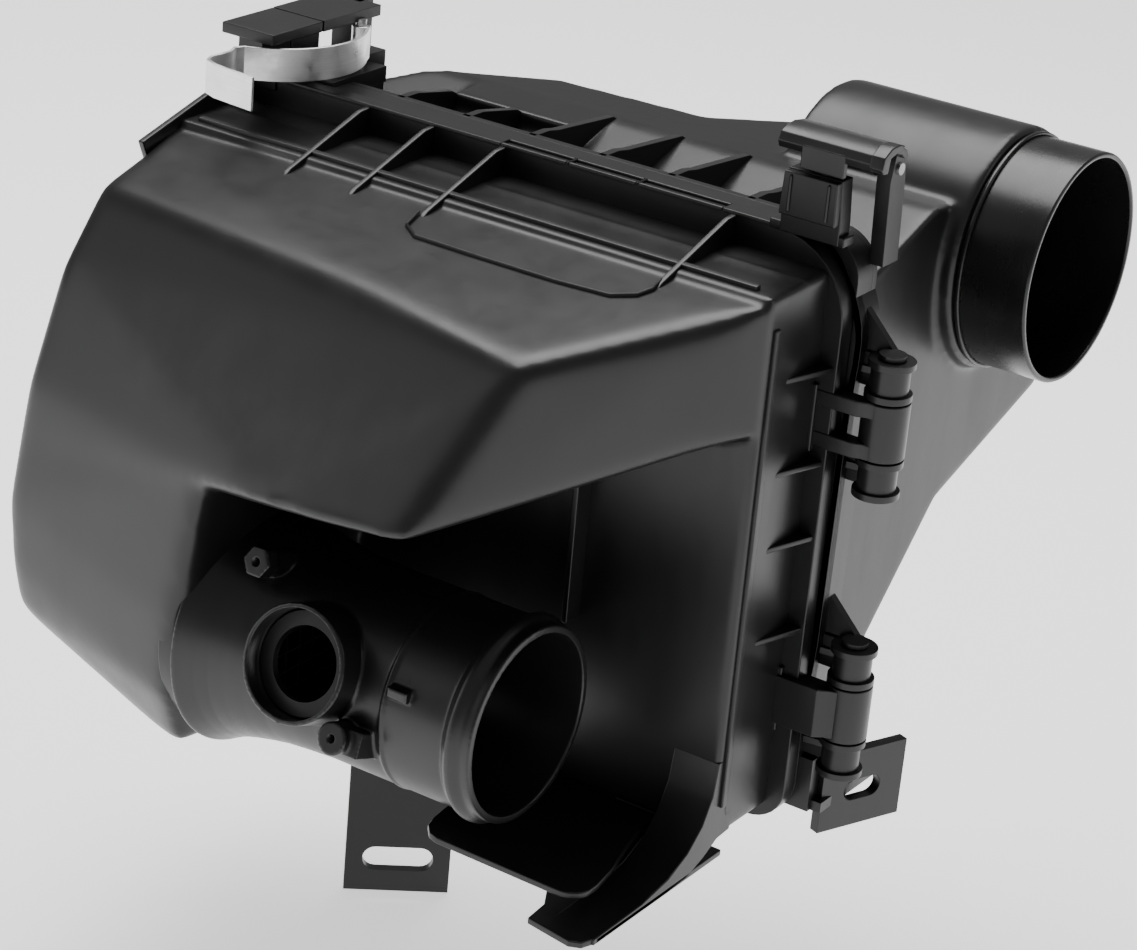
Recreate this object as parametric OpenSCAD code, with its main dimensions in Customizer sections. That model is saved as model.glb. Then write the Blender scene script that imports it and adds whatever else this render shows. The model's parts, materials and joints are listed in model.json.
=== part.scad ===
// Air filter housing: a moulded box in two halves around a panel filter, hinged
// on its right edge and held shut by steel clips on its left edge.
// X runs along the parting flange, Y from the cap to the case, Z is up.
// All shapes are drawn in the flange frame, with the parting plane at y = 0, and
// place() then moves them so that the left bracket's face is the origin.

/* [Flange and walls] */
// Width of the parting flange
flange_w = 253; // [200:1:320]
// Height of the parting flange
flange_h = 211.6; // [160:0.1:260]
// Height of the flange top above the tube datum
flange_top = 113.6; // [90:0.1:140]
// X of the flange's right edge
flange_right = 103; // [80:1:140]
// Thickness of the cap's flange
cap_flange = 7; // [4:0.5:12]
// Thickness of the case's flange
case_flange = 13; // [10:0.5:18]
// Moulded wall thickness
wall = 2.5; // [1.8:0.1:4]
// Running gap between parts that do not touch
gap = 0.3; // [0.2:0.05:0.6]

/* [Filter] */
// Width of the filter's seal
filter_w = 232; // [180:1:300]
// Height of the filter's seal
filter_h = 192; // [140:1:240]
// Width of the seal's ribbon
seal_w = 9; // [6:0.5:14]
// Thickness of the seal
seal_t = 9.6; // [6:0.2:14]
// Depth of the pleated pack
pleat_depth = 20; // [12:1:40]
// Number of pleats
pleats = 34; // [16:1:60]

/* [Outlet tube] */
// Outside radius of the outlet tube at its mouth
tube_r = 34; // [25:0.5:45]
// X of the outlet mouth
tube_mouth_x = 53.3; // [40:0.5:80]
// Y of the outlet tube's axis
tube_y = -95; // [-120:1:-70]
// Z of the outlet tube's axis
tube_z = -42.4; // [-60:0.2:-20]
// Outside radius of the sensor port
port_r = 20; // [15:0.5:26]
// Inside radius of the sensor port
port_bore = 16.5; // [12:0.5:22]
// Tilt of the sensor port above level
port_tilt = 19; // [0:1:40]
// X of the sensor port's axis
port_x = -12.5; // [-30:0.5:10]
// Distance from the tube's axis to the port's face
port_reach = 44; // [38:0.5:55]

/* [Inlet duct] */
// Outside radius of the inlet duct
duct_r = 41.2; // [30:0.2:55]
// X of the inlet mouth
duct_mouth_x = 131.3; // [115:0.5:160]
// Y of the inlet duct's axis
duct_y = 110; // [90:1:130]
// Z of the inlet duct's axis
duct_z = 84.9; // [70:0.1:100]

/* [Hinges and fasteners] */
// X of the hinge axis
hinge_x = 118; // [110:0.5:130]
// Y of the hinge axis
hinge_y = 2; // [0:0.5:6]
// Z of each hinge's middle
hinge_z = [53.4, -50];
// Radius of the hinge pins
pin_r = 3; // [2:0.25:5]
// Radius of the hinge knuckles
knuckle_r = 8; // [6:0.5:11]
// Width of the steel clip's band
clip_w = 12; // [8:0.5:18]
// Thickness of the steel clip's band
clip_t = 1.2; // [0.8:0.1:2]
// X and Y of the clip's pivot
clip_pivot = [-118, 22];
// X of the lower clip's pivot, outside the flange
low_pivot_x = -163; // [-170:1:-155]
// Z of each clip's lower edge
clip_z = [119.5, -60];

/* [Hidden] */
$fn = 96;
big = 600;
x_r = flange_right;
x_l = x_r - flange_w;
z_t = flange_top;
z_b = z_t - flange_h;
x_m = (x_l + x_r) / 2;
z_m = (z_t + z_b) / 2;
open_w = filter_w - 2 * seal_w;
open_h = filter_h - 2 * seal_w;
// The cap's main walls
cap_l = x_l + 3;
cap_r = x_r - 7;
cap_t = z_t - 9.6;
cap_b = z_b + 6;
tray = 42;
// The case's main walls
case_l = x_l + 6;
case_r = x_r - 5;
// The origin, on the left bracket's front face above its slot
origin_c = [-62, 2, -160];
bracket_turn = 38;
latch_axis = [0, 12, 137];
pin_gap = 0.05;
// Radius of the cap flange's upper right corner
corner_r = 28;
// Screw bosses beside the sensor port, from its axis
port_screws = [[-26.5, 26.3], [19, -19]];

module place() translate(-origin_c) children();

// A rectangle with rounded corners, from its low corner
module round_rect(w, h, r) {
    translate([r, 0]) square([w - 2 * r, h]);
    translate([0, r]) square([w, h - 2 * r]);
    for (x = [r, w - r], z = [r, h - r]) translate([x, z]) circle(r);
}

// A plate standing in X and Z, t thick, with its front face at y
module plate(x, y, z, w, t, h, r)
    translate([x, y + t, z]) rotate([90, 0, 0]) linear_extrude(t) round_rect(w, h, r);

// A bar or tube along X
module along_x(x0, x1, y, z, r) translate([x0, y, z]) rotate([0, 90, 0]) cylinder(r = r, h = x1 - x0);

// A profile in Y and Z, drawn along X
module side_profile(x0, x1, points)
    translate([x0, 0, 0]) rotate([90, 0, 90]) linear_extrude(x1 - x0) polygon(points);

// A convex body through its corners
module body_through(points) hull() for (p = points) translate(p) cube(0.2, center = true);

// Corners of the cap's upper bulge; t moves them in by one wall
function upper_bulge(t) = [
    [cap_l + t, -20, cap_t - t], [cap_r - t, -20, cap_t - t], [cap_r - t, -42, cap_t - 3 - t],
    [cap_l + t, -54 + t, 98 - t], [-15, -100 + t * 0.6, 92 - t], [54 - t * 0.6, -116 + t * 1.4, 89 - t],
    [90 - t, -56 + t * 0.6, 97 - t], [35.5 - t * 0.7, -149 + t * 1.8, 33 + t], [90 - t, -53 + t, 57 + t],
    [cap_r - t, -42, 57 + t], [cap_r - t, -20, 57 + t], [-50, -140 + t * 1.2, 27 + t],
    [cap_l + t, -83 + t, 89 - t], [cap_l + t, -102 + t, 65 - t], [cap_l + t, -118 + t, 26],
    [cap_l + t, -122 + t, 8 + t], [cap_l + t, -20, 8 + t], [-50, -20, 27 + t]];

// Corners of the cap's left leg, down beside the outlet tube
function left_leg(t) = [
    [cap_l + t, -20, 10 + t * 2], [cap_l + t, -122 + t, 8 + t * 2], [-52 - t * 0.5, -140 + t * 3.4, 27 + t * 2],
    [-52 - t, -20, 27 + t * 2], [cap_l + t, -127 + t, -16], [cap_l + t, -125 + t, -39],
    [-64 - t, -137 + t, -30], [-62 - t, -20, -30], [cap_l + t, -121 + t, -56], [-67 - t, -133 + t, -62],
    [cap_l + 6 + t, -89 + t, -90 + t], [-72 - t, -118 + t, -88 + t], [-66 - t, -20, -88 + t],
    [cap_l + t, -20, -90 + t]];

// A triangular gusset from the flange down to the cap's top
module gusset(x) side_profile(x - 1.1, x + 1.1, [[-6, z_t], [-52, cap_t - 4], [-52, cap_t - 8], [-6, cap_t - 8]]);

// The cap's arm around a hinge pin
module cap_arm(z) {
    h = 20;
    translate([hinge_x, hinge_y, z - h / 2]) cylinder(r = knuckle_r, h = h);
    translate([cap_r - 2, hinge_y - knuckle_r, z - h / 2]) cube([hinge_x - cap_r + 2, 5, h]);
}

module cap_shell() place() color("dimgray") difference() {
    union() {
        plate(x_l, -cap_flange, z_b, flange_w, cap_flange, flange_h, 14);
        plate(cap_l, -tray, cap_b, cap_r - cap_l, tray, cap_t - cap_b, 9);
        body_through(upper_bulge(0));
        body_through(left_leg(0));
        for (x = [-91.5, -63.5, -33.5, 58.7]) gusset(x);
        // Raised bead along the top and down the right side
        side_profile(cap_l + 4, cap_r - 6, [[-39, cap_t - 4], [-39, cap_t + 0.6], [-36, cap_t + 1], [-36, cap_t - 4]]);
        translate([cap_r - 1, -39, cap_b + 10]) cube([2.2, 3, cap_t - cap_b - 22]);
        // Ribs between the right wall and the flange
        for (z = [37, 10, -24, 70]) translate([cap_r - 1, -34, z]) cube([7.5, 30, 2]);
        // Shelf below the outlet tube, and the lip under it
        translate([0, 0, -91]) linear_extrude(2.4) polygon([[12, -36], [20, -100], [25, -106.5], [80, -107.5],
            [86, -102], [83.7, -84], [75.5, -53], [80, -36]]);
        side_profile(92, 96, [[-30, -100.5], [-30, -80], [-66, -92], [-112, -98], [-112, -100.5]]);
        translate([0, 0, -100.5]) linear_extrude(2.4) polygon([[58, -34], [58, -78], [71, -104], [72, -115],
            [90, -118], [96, -112], [96, -24], [84, -24], [84, -34]]);
        translate([58, -46, -100]) cube([38, 8, 12]);
        translate([cap_l + 20, -30, z_b]) cube([cap_r - cap_l - 20, 26, 8]);
        for (z = hinge_z) cap_arm(z);
        // Left ears and the roof over the upper one
        translate([-143, -16, clip_z[0] - 2]) cube([11, 16 - gap, clip_w + 4]);
        translate([-141, -28, clip_z[0] + clip_w + 1.5]) cube([23, 28 - gap, 4]);
        translate([-143, -8, z_t - 4]) cube([11, 8 - gap, 14]);
        translate([-158.5, -14, clip_z[1] - 2]) cube([16, 14 - gap, clip_w + 4]);
        // Block that the top latch holds down
        translate([76, -8, z_t - 4]) cube([22, 8 - gap, 25]);
        translate([76.5, -11.2, z_t + 5]) cube([21, 5, 15.4]);
        // Tube socket on the leg
        along_x(-76, -56, tube_y, tube_z, 40);
        // Upright rib on the panel behind the tube
        translate([33.5, -52, -28]) cube([2.2, 12, 60]);
    }
    // Hollow
    plate(x_m - open_w / 2, -cap_flange - 1, z_m - open_h / 2, open_w, cap_flange + 2, open_h, 8);
    plate(cap_l + wall, -tray + wall, cap_b + wall, cap_r - cap_l - 2 * wall, tray - cap_flange, cap_t - cap_b - 2 * wall, 7);
    body_through(upper_bulge(wall));
    body_through(left_leg(wall));
    along_x(-80, -50, tube_y, tube_z, 37 + pin_gap);
    // Narrow slots behind the middle gussets
    for (x = [-34.5, -6.5, 21.5]) translate([x, -3, z_t - 14]) cube([26, 2, 20]);
    // Pin bores and the rounded corner above the upper hinge
    for (z = hinge_z) translate([hinge_x, hinge_y, z - 15]) cylinder(r = pin_r + pin_gap, h = 30);
    difference() {
        translate([x_r - corner_r, -cap_flange - 1, z_t - corner_r]) cube([corner_r + 1, cap_flange + 2, corner_r + 1]);
        translate([x_r - corner_r, 1, z_t - corner_r]) rotate([90, 0, 0]) cylinder(r = corner_r, h = cap_flange + 4);
        translate([74, -9, z_t - 4]) cube([24, 10, 10]);
    }
}

// The outlet tube, turned about X from its flared foot to its mouth
module outlet_tube() place() color("gray") {
    t = 2.6;
    foot = -68;
    difference() {
        union() {
            translate([foot, tube_y, tube_z]) rotate([0, 90, 0]) rotate_extrude() polygon([
                [0, 0], [37, 0], [37, 13.6], [43.5, 13.6], [43.5, 15.4], [39.5, 19], [36.5, 25], [35, 33], [34.6, 45],
                [tube_r, 58], [tube_r, 111], [tube_r + 1.8, 112.6], [tube_r + 2.2, 114], [tube_r + 1.8, 115.6],
                [tube_r - 0.2, 117.4], [tube_r - 0.2, tube_mouth_x - foot], [0, tube_mouth_x - foot]]);
            // Sensor port and its two screw bosses
            translate([port_x, tube_y, tube_z]) rotate([90 - port_tilt, 0, 0]) {
                cylinder(r = port_r, h = port_reach);
                for (p = port_screws) {
                    translate([p[0], p[1], 10]) cylinder(r = 5.2, h = port_reach - 14);
                }
            }
            // Small locating lug
            translate([20, tube_y - tube_r - 0.4, tube_z + 11]) cube([8, 6, 4]);
        }
        along_x(foot - 1, tube_mouth_x + 1, tube_y, tube_z, tube_r - t);
        translate([foot - 0.01, tube_y, tube_z]) rotate([0, 90, 0]) cylinder(r1 = 35, r2 = tube_r - t - 1, h = 24);
        translate([port_x, tube_y, tube_z]) rotate([90 - port_tilt, 0, 0]) {
            translate([0, 0, 5]) cylinder(r = port_bore, h = big);
            translate([0, 0, 34]) cylinder(r = 17.4 + pin_gap, h = big);
            translate([0, 0, 37.05]) cylinder(r = 17.8, h = big);
            for (p = port_screws) translate([p[0], p[1], 26]) cylinder(r = 1.6, h = 20);
        }
    }
}

// Step ring pressed into the sensor port
module sensor_port_liner() place() color("dimgray")
    translate([port_x, tube_y, tube_z]) rotate([90 - port_tilt, 0, 0]) translate([0, 0, 34.05]) difference() {
        cylinder(r = 17.4, h = 3);
        translate([0, 0, -1]) cylinder(r = 12.6, h = 5);
    }

// Grid that straightens the air before the sensor
module flow_straightener() place() color("gray") {
    r = tube_r - 2.6 - 0.1;
    x0 = -44;
    difference() {
        along_x(x0, x0 + 8, tube_y, tube_z, r);
        along_x(x0 - 1, x0 + 9, tube_y, tube_z, r - 1.6);
    }
    intersection() {
        along_x(x0, x0 + 8, tube_y, tube_z, r - 0.8);
        union() for (i = [-4:4]) {
            translate([x0, tube_y - r, tube_z + i * 7 - 0.4]) cube([8, 2 * r, 0.8]);
            translate([x0, tube_y + i * 7 - 0.4, tube_z - r]) cube([8, 0.8, 2 * r]);
        }
    }
}

// Side view of the case: flat top, back wall, belly that rises to the back
function case_side(t) = [[0, z_b + 6 + t], [30 - t, z_b + 6 + t], [50, -48 + t * 1.6],
    [91, -7 + t * 1.4], [163 - t, 17 + t], [163 - t, 98 - t], [150, 106 - t], [64, 109 - t], [20, 99 - t], [0, 99 - t]];

// Plan of the case: shallow on the left, deep on the right where the duct enters
function case_plan(t) = [[case_l + t, 0], [case_l + t, 34 - t], [case_l + 28 + t, 60 - t], [-76, 90 - t],
    [-16, 94 - t], [10, 118 - t], [36, 156 - t], [50, 163 - t], [case_r - t, 163 - t], [case_r - t, 0]];

module case_body(t) intersection() {
    side_profile(case_l, case_r, case_side(t));
    translate([0, 0, z_b - 1]) linear_extrude(flange_h + 2) polygon(case_plan(t));
}

// A case knuckle: two plates with the cap's arm between them
module case_knuckle(z) for (k = [-24, 10.5]) {
    h = 13.5;
    translate([hinge_x, hinge_y, z + k]) cylinder(r = knuckle_r, h = h);
    translate([x_r - 6, gap, z + k]) cube([hinge_x - x_r + 6, hinge_y + knuckle_r - gap, h]);
}

// A bracket plate with a long slot; its front face stands at local y = 0
module bracket(slot_l, slot_h, w, h, t, drop) difference() {
    translate([-w / 2, 0, -drop]) cube([w, t, h]);
    translate([0, t / 2, 14 - drop]) {
        for (s = [-1, 1]) translate([s * (slot_l - slot_h) / 2, 0, 0]) rotate([90, 0, 0])
            cylinder(r = slot_h / 2, h = t + 2, center = true);
        cube([slot_l - slot_h, t + 2, slot_h], center = true);
    }
}

module case_shell() place() color("darkgray") difference() {
    union() {
        difference() {
            union() {
                plate(x_l, 0, z_b, flange_w, case_flange, flange_h, 14);
                // The flange swells out at the right, past the cap's
                translate([0, case_flange - gap, 0]) rotate([90, 0, 0]) linear_extrude(case_flange - 2 * gap)
                    polygon([[82, 112], [90.5, 110.6], [98, 103.6], [104.7, 91], [107, 80], [106.3, 66],
                        [105.5, 32], [105, -30], [101, -52], [92, -52]]);
                case_body(0);
                // Raised deck behind the two left pockets
                side_profile(-90.6, -34.2, [[43, 94], [43, 109.4], [67, 109.4], [67, 94]]);
                along_x(30, case_r, duct_y, duct_z, duct_r + gap + wall);
                along_x(60, case_r + 7, duct_y, duct_z, duct_r + gap + wall);
            }
            intersection() {
                case_body(wall);
                translate([-big / 2, case_flange, -big / 2]) cube(big);
            }
            along_x(32, case_r, duct_y, duct_z, duct_r + gap);
            plate(x_m - open_w / 2, -1, z_m - open_h / 2, open_w, case_flange + 14, open_h, 6);
        }
        for (z = hinge_z) case_knuckle(z);
        // Ribs between the top pockets
        for (x = [-91, -62.5, -34.5, -5.5, 22.5, 54]) side_profile(x - 1.1, x + 1.1,
            [[9, 95], [9, z_t - 0.4], [22, z_t - 0.4], [x > -40 ? 65 : 46, 108.2], [x > -40 ? 67 : 48, 95]]);
        // Left ears, clip knuckles and the roof over the upper clip
        translate([-143, gap, z_t - 4]) cube([30, 32, 6]);
        translate([-141, gap, clip_z[0] + clip_w + 1.5]) cube([23, 33, 4]);
        translate([-143, gap, z_t - 1]) cube([11, 16, clip_z[0] + clip_w + 3 - z_t]);
        translate([-137, 30, 88]) cube([16, 12, 30]);
        translate([-137, 30, 110]) cube([12, 8, 27]);
        for (z = [clip_z[1] - 4, clip_z[1] + clip_w + 0.5]) translate([low_pivot_x - 5, gap, z]) cube([26, 28, 3.5]);
        // Posts of the top latch
        for (x = [74, 101]) translate([x, 7, z_t - 14]) cube([7, 10, latch_axis[2] - z_t + 20]);
        // Brackets
        translate(origin_c) rotate([0, 0, bracket_turn]) bracket(27, 10, 40, 98, 4, 34);
        translate(origin_c) rotate([0, 0, bracket_turn]) translate([-20, -4, 56]) cube([40, 12, 12]);
        translate([hinge_x - 1, 24, -84]) rotate([0, 0, 68]) bracket(16, 8, 36, 29.4, 4, 20);
        translate([92, 2, z_b + 4]) cube([16, 12, 20]);
        translate([92, 4, z_b + 3]) cube([20, 38, 4.4]);
        translate([90, 6, z_b + 4]) cube([4, 34, 22]);
    }
    // The left bracket's root keeps clear of the cap's flange
    translate([-112, -60, z_b - gap]) cube([84, 60 + gap, 24]);
    // Seat for the seal
    plate(x_m - filter_w / 2 - gap, -1, z_m - filter_h / 2 - gap, filter_w + 2 * gap, 11, filter_h + 2 * gap, 8);
    // Way in from the duct
    along_x(32, case_r + 20, duct_y, duct_z, duct_r + pin_gap);
    // Pin bores
    for (z = hinge_z) translate([hinge_x, hinge_y, z - 30]) cylinder(r = pin_r + pin_gap, h = 60);
    translate([clip_pivot[0], clip_pivot[1], clip_z[0] - 8]) cylinder(r = 2 + pin_gap, h = clip_w + 16);
    translate([low_pivot_x, clip_pivot[1], clip_z[1] - 8]) cylinder(r = 2 + pin_gap, h = clip_w + 16);
    along_x(60, 120, latch_axis[1], latch_axis[2], 2 + pin_gap);
}

// Inlet duct, a thin tube with a rolled lip, let into the case
module inlet_duct() place() color("dimgray") difference() {
    union() {
        along_x(70, duct_mouth_x, duct_y, duct_z, duct_r);
        along_x(case_r + 7 + gap, case_r + 9.3, duct_y, duct_z, duct_r + 2.4);
    }
    along_x(60, duct_mouth_x + 10, duct_y, duct_z, duct_r - 2.2);
}

// Rubber seal that the two flanges clamp
module filter_seal() place() color("black") difference() {
    plate(x_m - filter_w / 2, 0.3, z_m - filter_h / 2, filter_w, seal_t, filter_h, 8);
    plate(x_m - open_w / 2 + 2.5, -1, z_m - open_h / 2 + 2.5, open_w - 5, seal_t + 3, open_h - 5, 4);
}

// Stiff frame around the pleats
module filter_frame() place() color("black") difference() {
    plate(x_m - open_w / 2 + 1, 10.2, z_m - open_h / 2 + 1, open_w - 2, pleat_depth, open_h - 2, 4);
    plate(x_m - open_w / 2 + 3, 9, z_m - open_h / 2 + 3, open_w - 6, pleat_depth + 3, open_h - 6, 3);
}

// Pleated paper, folded across the width
module filter_media() place() color("wheat") {
    w = open_w - 8;
    h = open_h - 7;
    pitch = w / pleats;
    y0 = 12;
    y1 = 10.2 + pleat_depth - 3;
    x0 = x_m - w / 2;
    translate([0, 0, z_m - h / 2]) linear_extrude(h) polygon(concat(
        [for (i = [0:pleats]) each [[x0 + i * pitch, y0], if (i < pleats) [x0 + (i + 0.5) * pitch, y1]]],
        [for (i = [pleats:-1:0]) each [[x0 + i * pitch, y0 + 1.6], if (i > 0) [x0 + (i - 0.5) * pitch, y1 + 1.6]]]));
}

// Flat screen on the clean side of the pleats
module filter_screen() place() color("silver") difference() {
    plate(x_m - open_w / 2 + 3, 1.2, z_m - open_h / 2 + 3, open_w - 6, 1.2, open_h - 6, 2);
    for (i = [-3:3], k = [-2:2]) translate([x_m + i * 28 - 12.5, 0, z_m + k * 32 - 14.5]) cube([25, 5, 29]);
}

module hinge_pin(z) translate([hinge_x, hinge_y, z]) {
    translate([0, 0, -24.5]) cylinder(r = pin_r, h = 49);
    translate([0, 0, 24.3]) cylinder(r = pin_r + 1.6, h = 1.6);
}

module upper_hinge_pin() place() color("silver") hinge_pin(hinge_z[0]);
module lower_hinge_pin() place() color("silver") hinge_pin(hinge_z[1]);

// Edges of a ribbon that follows the points p, t to one side
function seg_normal(a, b) = [a[1] - b[1], b[0] - a[0]] / norm(b - a);
function mitre(m, n) = (m + n) / (1 + m * n);
function edge_of(p, t) = [for (i = [0:len(p) - 1]) p[i] + t * (
    i == 0 ? seg_normal(p[0], p[1]) :
    i == len(p) - 1 ? seg_normal(p[i - 1], p[i]) :
    mitre(seg_normal(p[i - 1], p[i]), seg_normal(p[i], p[i + 1])))];
function reversed(p) = [for (i = [len(p) - 1:-1:0]) p[i]];

// A steel band in plan: an eye round its pin, a bow, a nose and a finger tab
module clip_band(px, py) {
    bow = [for (a = [34:-5:-66]) [-24.5 + 34.5 * cos(a), -21 + 34.5 * sin(a)]];
    path = concat([[-1.2, 3.1], [2.2, 2.1]], bow, [[-11.8, -56], [-9.8, -61], [-10, -66], [-10.4, -70.5],
        [-8.5, -74.5], [-3, -77], [15, -79]]);
    translate([px, py, 0]) difference() {
        union() {
            cylinder(r = 3.4, h = clip_w);
            linear_extrude(clip_w) polygon(concat(edge_of(path, clip_t / 2), reversed(edge_of(path, -clip_t / 2))));
        }
        translate([0, 0, -1]) cylinder(r = 2 + pin_gap, h = clip_w + 2);
    }
}

module upper_spring_clip() place() color("gainsboro")
    translate([0, 0, clip_z[0]]) clip_band(clip_pivot[0], clip_pivot[1]);

module lower_spring_clip() place() color("gainsboro")
    translate([0, 0, clip_z[1]])
        translate([low_pivot_x, 0, 0]) mirror([1, 0, 0]) clip_band(0, clip_pivot[1]);

module upper_clip_pin() place() color("silver")
    translate([clip_pivot[0], clip_pivot[1], clip_z[0] - 6]) cylinder(r = 2, h = clip_w + 8.5);

module lower_clip_pin() place() color("silver")
    translate([low_pivot_x, clip_pivot[1], clip_z[1] - 4.5]) cylinder(r = 2, h = clip_w + 9);

// The top latch: a rolled plastic shell over the cap's block, hinged at the back
module top_latch() place() color("black") {
    x0 = 83;
    x1 = 99;
    difference() {
        union() {
            along_x(x0, x1, latch_axis[1], latch_axis[2], 4.4);
            side_profile(x0, x1, [[latch_axis[1] - 3, latch_axis[2] - 1], [latch_axis[1] - 3, latch_axis[2] + 4],
                [0, 142], [-9, 142], [-9, 136.5], [-11.4, 136.5], [-11.4, 144.5], [2, 145.5],
                [latch_axis[1] + 1, latch_axis[2] + 6]]);
            side_profile(74, 113, [[-9, 142], [-11.4, 144], [-8, 147.5], [-2, 148.5], [4, 147], [4, 144.4],
                [-2, 145.6], [-7, 144.6]]);
        }
        along_x(x0 - 1, x1 + 1, latch_axis[1], latch_axis[2], 2 + pin_gap);
    }
}

module latch_pin() place() color("silver")
    along_x(74.5, 107.5, latch_axis[1], latch_axis[2], 2);

cap_shell();
outlet_tube();
flow_straightener();
sensor_port_liner();
case_shell();
inlet_duct();
filter_seal();
filter_frame();
filter_media();
filter_screen();
upper_hinge_pin();
lower_hinge_pin();
upper_spring_clip();
lower_spring_clip();
upper_clip_pin();
lower_clip_pin();
top_latch();
latch_pin();
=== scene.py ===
import json
import math

import bmesh
import bpy
from mathutils import Matrix, Vector


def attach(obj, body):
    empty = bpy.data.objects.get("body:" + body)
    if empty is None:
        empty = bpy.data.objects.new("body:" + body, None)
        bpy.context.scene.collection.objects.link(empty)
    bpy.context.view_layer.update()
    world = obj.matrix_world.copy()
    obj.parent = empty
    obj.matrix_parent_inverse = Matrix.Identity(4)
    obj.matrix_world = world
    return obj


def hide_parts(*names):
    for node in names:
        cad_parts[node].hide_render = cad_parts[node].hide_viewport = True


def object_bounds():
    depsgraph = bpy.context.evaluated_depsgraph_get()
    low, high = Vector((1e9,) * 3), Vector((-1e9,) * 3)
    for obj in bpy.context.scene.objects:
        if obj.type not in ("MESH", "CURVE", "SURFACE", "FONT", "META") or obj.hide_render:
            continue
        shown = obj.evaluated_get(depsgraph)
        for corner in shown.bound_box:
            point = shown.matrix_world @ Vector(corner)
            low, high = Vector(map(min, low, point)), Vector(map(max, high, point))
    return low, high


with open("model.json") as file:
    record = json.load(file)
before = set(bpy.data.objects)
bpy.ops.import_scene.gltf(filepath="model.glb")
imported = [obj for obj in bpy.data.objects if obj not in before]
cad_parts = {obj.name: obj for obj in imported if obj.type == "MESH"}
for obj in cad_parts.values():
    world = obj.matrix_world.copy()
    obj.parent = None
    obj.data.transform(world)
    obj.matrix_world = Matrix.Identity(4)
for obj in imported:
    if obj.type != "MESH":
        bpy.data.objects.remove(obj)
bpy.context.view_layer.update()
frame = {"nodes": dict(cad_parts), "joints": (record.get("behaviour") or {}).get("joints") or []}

# ---------------------------------------------------------------- datum
# Lengths below are millimetres in the flange frame: the parting plane is y = 0
# and the hinge axis stands at HINGE. The hinge joint says where that is.
MM = 0.001
HINGE = (118.0, 2.0)
joint = {j["name"]: j for j in frame["joints"]}
DATUM = Vector(joint["cap_opening"]["pos_m"]) - Vector((HINGE[0], HINGE[1], 0)) * MM


def P(x, y, z):
    """A point of the flange frame, in metres in the row frame."""
    return DATUM + Vector((x, y, z)) * MM


# Flange and walls
X_L, X_R = -150.0, 103.0
Z_B, Z_T = -98.0, 113.6
CAP_FLANGE, CASE_FLANGE = 7.0, 13.0
CAP_L, CAP_R, CAP_T, CAP_B = -147.0, 96.0, 104.0, -92.0
CASE_L, CASE_R = -144.0, 98.0
OPEN_X, OPEN_Z = (-130.5, 83.5), (-79.2, 94.8)
WALL = 2.4
# Outlet tube and sensor port
TUBE_Y, TUBE_Z, TUBE_R, TUBE_FOOT, TUBE_MOUTH = -95.0, -42.4, 34.0, -68.0, 53.3
PORT_X, PORT_TILT, PORT_R, PORT_REACH = -12.5, math.radians(19), 20.0, 44.0
PORT_SCREWS = ((-26.5, 26.3), (19.0, -19.0))
# Inlet duct
DUCT_Y, DUCT_Z, DUCT_R, DUCT_START, DUCT_MOUTH = 110.0, 84.9, 41.2, 70, 131.3
# Hinges, clips and latch
HINGE_Z = (53.4, -50.0)
HINGE_BORE = 3.1
CLIP_Z, CLIP_W, CLIP_T = (119.5, -60.0), 12.0, 1.2
CLIP_PIVOT = (-118.0, 22.0)
LOW_PIVOT_X = -163.0
SMALL_BORE = 2.1
LATCH_Y, LATCH_Z = 12.0, 137.0
ALONG_X = Vector((1, 0, 0))


# ---------------------------------------------------------------- materials
def node_tree(name):
    mat = bpy.data.materials.new(name)
    mat.use_nodes = True
    tree = mat.node_tree
    return mat, tree, tree.nodes["Principled BSDF"]


def link(tree, a, b):
    tree.links.new(a, b)


def noise(tree, scale, detail=4.0, rough=0.55, stretch=None):
    coord = tree.nodes.new("ShaderNodeTexCoord")
    tex = tree.nodes.new("ShaderNodeTexNoise")
    tex.inputs["Scale"].default_value = scale
    tex.inputs["Detail"].default_value = detail
    tex.inputs["Roughness"].default_value = rough
    if stretch:
        mapping = tree.nodes.new("ShaderNodeMapping")
        mapping.inputs["Scale"].default_value = stretch
        link(tree, coord.outputs["Object"], mapping.inputs["Vector"])
        link(tree, mapping.outputs["Vector"], tex.inputs["Vector"])
    else:
        link(tree, coord.outputs["Object"], tex.inputs["Vector"])
    return tex.outputs["Fac"]


def ramp(tree, fac, stops):
    node = tree.nodes.new("ShaderNodeValToRGB")
    elements = node.color_ramp.elements
    while len(elements) < len(stops):
        elements.new(0.5)
    for element, (pos, value) in zip(elements, stops):
        element.position = pos
        element.color = (*value, 1) if len(value) == 3 else (value[0],) * 3 + (1,)
    link(tree, fac, node.inputs["Fac"])
    return node.outputs["Color"]


def bump(tree, bsdf, layers):
    """Stacks bump layers of (height socket, strength, distance in metres)."""
    normal = None
    for height, strength, distance in layers:
        node = tree.nodes.new("ShaderNodeBump")
        node.inputs["Strength"].default_value = strength
        node.inputs["Distance"].default_value = distance
        link(tree, height, node.inputs["Height"])
        if normal:
            link(tree, normal, node.inputs["Normal"])
        normal = node.outputs["Normal"]
    link(tree, normal, bsdf.inputs["Normal"])


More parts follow.
